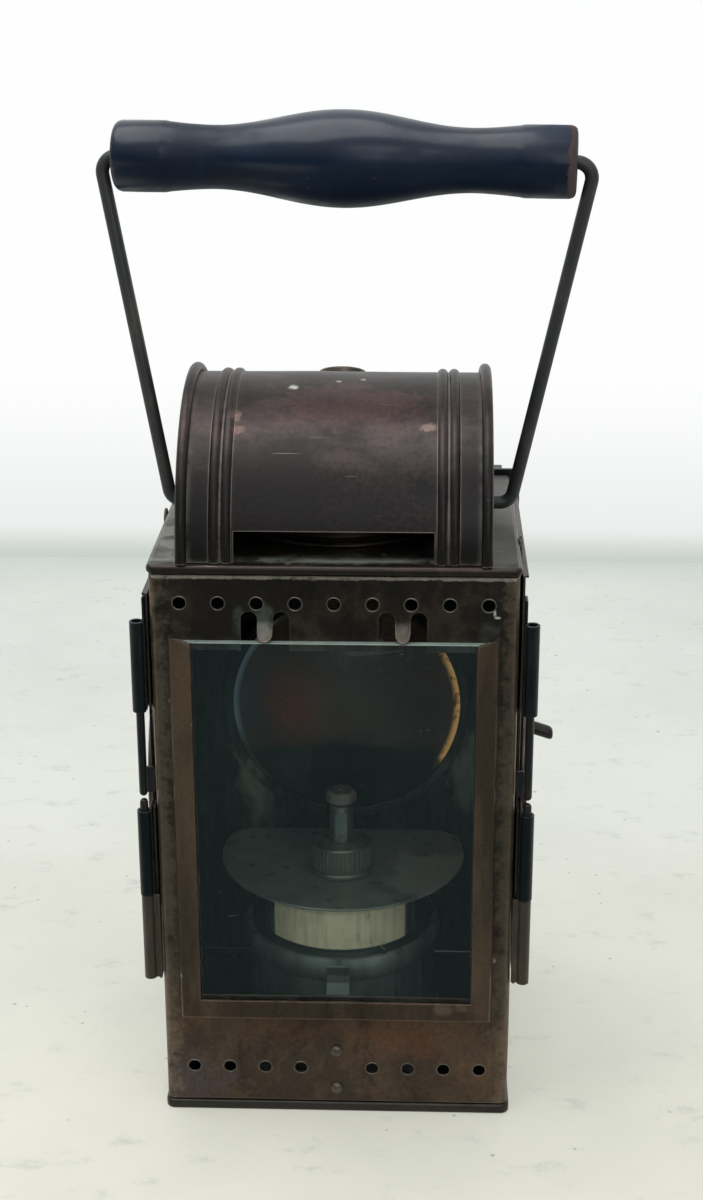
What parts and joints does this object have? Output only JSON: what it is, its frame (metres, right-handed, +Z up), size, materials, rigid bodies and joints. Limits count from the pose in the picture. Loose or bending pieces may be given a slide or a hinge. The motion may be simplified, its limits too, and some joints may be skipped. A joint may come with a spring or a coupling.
{
  "type": "railway lantern",
  "caption": "Square hand lantern with a glazed front, rear lens, hinged side doors with coloured glasses, carbide burner, vented half-drum hood and a bail with a turned grip.",
  "frame": {"origin": "centre of the underside of the base", "axes": "+Z up along the lantern's height, +X to its right-hand side, -Y out of the glazed front"},
  "size_m": [0.1647, 0.1201, 0.3407],
  "materials": {
    "patinated_copper": "dark brown patina with worn edges and green traces",
    "black_steel": "worn blue-black paint",
    "steel_wire": "dark grey drawn wire",
    "black_lacquer": "glossy black lacquer on turned wood",
    "tinned_sheet": "dull grey tinned sheet",
    "old_brass": "dull olive brass",
    "burner_ceramic": "matt fired ceramic",
    "window_glass": "clear flat glass with a pale green edge",
    "lens_glass": "clear cast glass",
    "green_glass": "blue-green signal glass",
    "red_glass": "orange-red signal glass"
  },
  "bodies": {
    "casing": {"base_tray": "patinated_copper", "window_panel": "patinated_copper", "lens_panel": "patinated_copper", "left_wall": "patinated_copper", "right_wall": "patinated_copper", "roof_plate": "patinated_copper", "chimney": "patinated_copper", "window_frame": "patinated_copper", "window_pane": "window_glass", "generator_clip": "steel_wire", "upper_clip_rivet": "patinated_copper", "lower_clip_rivet": "patinated_copper", "hood_shell": "patinated_copper", "left_hood_end": "patinated_copper", "right_hood_end": "patinated_copper", "hood_boss": "patinated_copper", "lens": "lens_glass", "lens_ring": "tinned_sheet", "left_rail": "black_steel", "right_rail": "black_steel", "latch_keeper": "patinated_copper", "generator_seat": "tinned_sheet", "carbide_pot": "tinned_sheet", "left_body_knuckle": "patinated_copper", "left_lower_pin": "steel_wire", "left_upper_pin": "steel_wire", "right_body_knuckle": "patinated_copper", "right_lower_pin": "steel_wire", "right_upper_pin": "steel_wire"},
    "bail": {"bail_wire": "steel_wire", "grip": "black_lacquer"},
    "left_door": {"left_door_tray": "patinated_copper", "left_hinge_leaf": "black_steel", "left_leaf_rivet_1": "patinated_copper", "left_leaf_rivet_2": "patinated_copper", "left_leaf_rivet_3": "patinated_copper", "left_signal_glass": "green_glass", "left_glass_bezel": "patinated_copper"},
    "right_door": {"right_door_tray": "patinated_copper", "right_hinge_leaf": "black_steel", "right_leaf_rivet_1": "patinated_copper", "right_leaf_rivet_2": "patinated_copper", "right_leaf_rivet_3": "patinated_copper", "right_signal_glass": "red_glass", "right_glass_bezel": "patinated_copper"},
    "latch": {"latch_knob": "patinated_copper"},
    "shutter": {"blackout_shutter": "black_steel"},
    "generator_head": {"water_tank": "tinned_sheet", "shade_plate": "tinned_sheet", "burner_boss": "old_brass"},
    "burner": {"burner_nut": "old_brass", "burner_stem": "old_brass", "burner_tip": "burner_ceramic"}
  },
  "joints": [
    {"name": "bail_swing", "type": "hinge", "parent": "casing", "child": "bail", "pos_m": [0, 0, 0.209], "axis": [1, 0, 0], "range_deg": [-85, 85]},
    {"name": "left_door_hinge", "type": "hinge", "parent": "casing", "child": "left_door", "pos_m": [-0.0643, -0.0525, 0.1], "axis": [0, 0, 1], "range_deg": [0, 110]},
    {"name": "right_door_hinge", "type": "hinge", "parent": "casing", "child": "right_door", "pos_m": [0.0643, -0.0525, 0.1], "axis": [0, 0, -1], "range_deg": [0, 110]},
    {"name": "latch_turn", "type": "hinge", "parent": "right_door", "child": "latch", "pos_m": [0.065, 0.0422, 0.106], "axis": [1, 0, 0], "range_deg": [-90, 0]},
    {"name": "shutter_slide", "type": "slide", "parent": "casing", "child": "shutter", "axis": [0, 0, 1], "range_m": [0, 0.088]},
    {"name": "generator_twist", "type": "hinge", "parent": "casing", "child": "generator_head", "pos_m": [0, 0, 0.05], "axis": [0, 0, 1], "range_deg": [0, 25]},
    {"name": "burner_turn", "type": "hinge", "parent": "generator_head", "child": "burner", "pos_m": [0, -0.0042, 0.08], "axis": [0, 0, 1], "continuous": true}
  ]
}
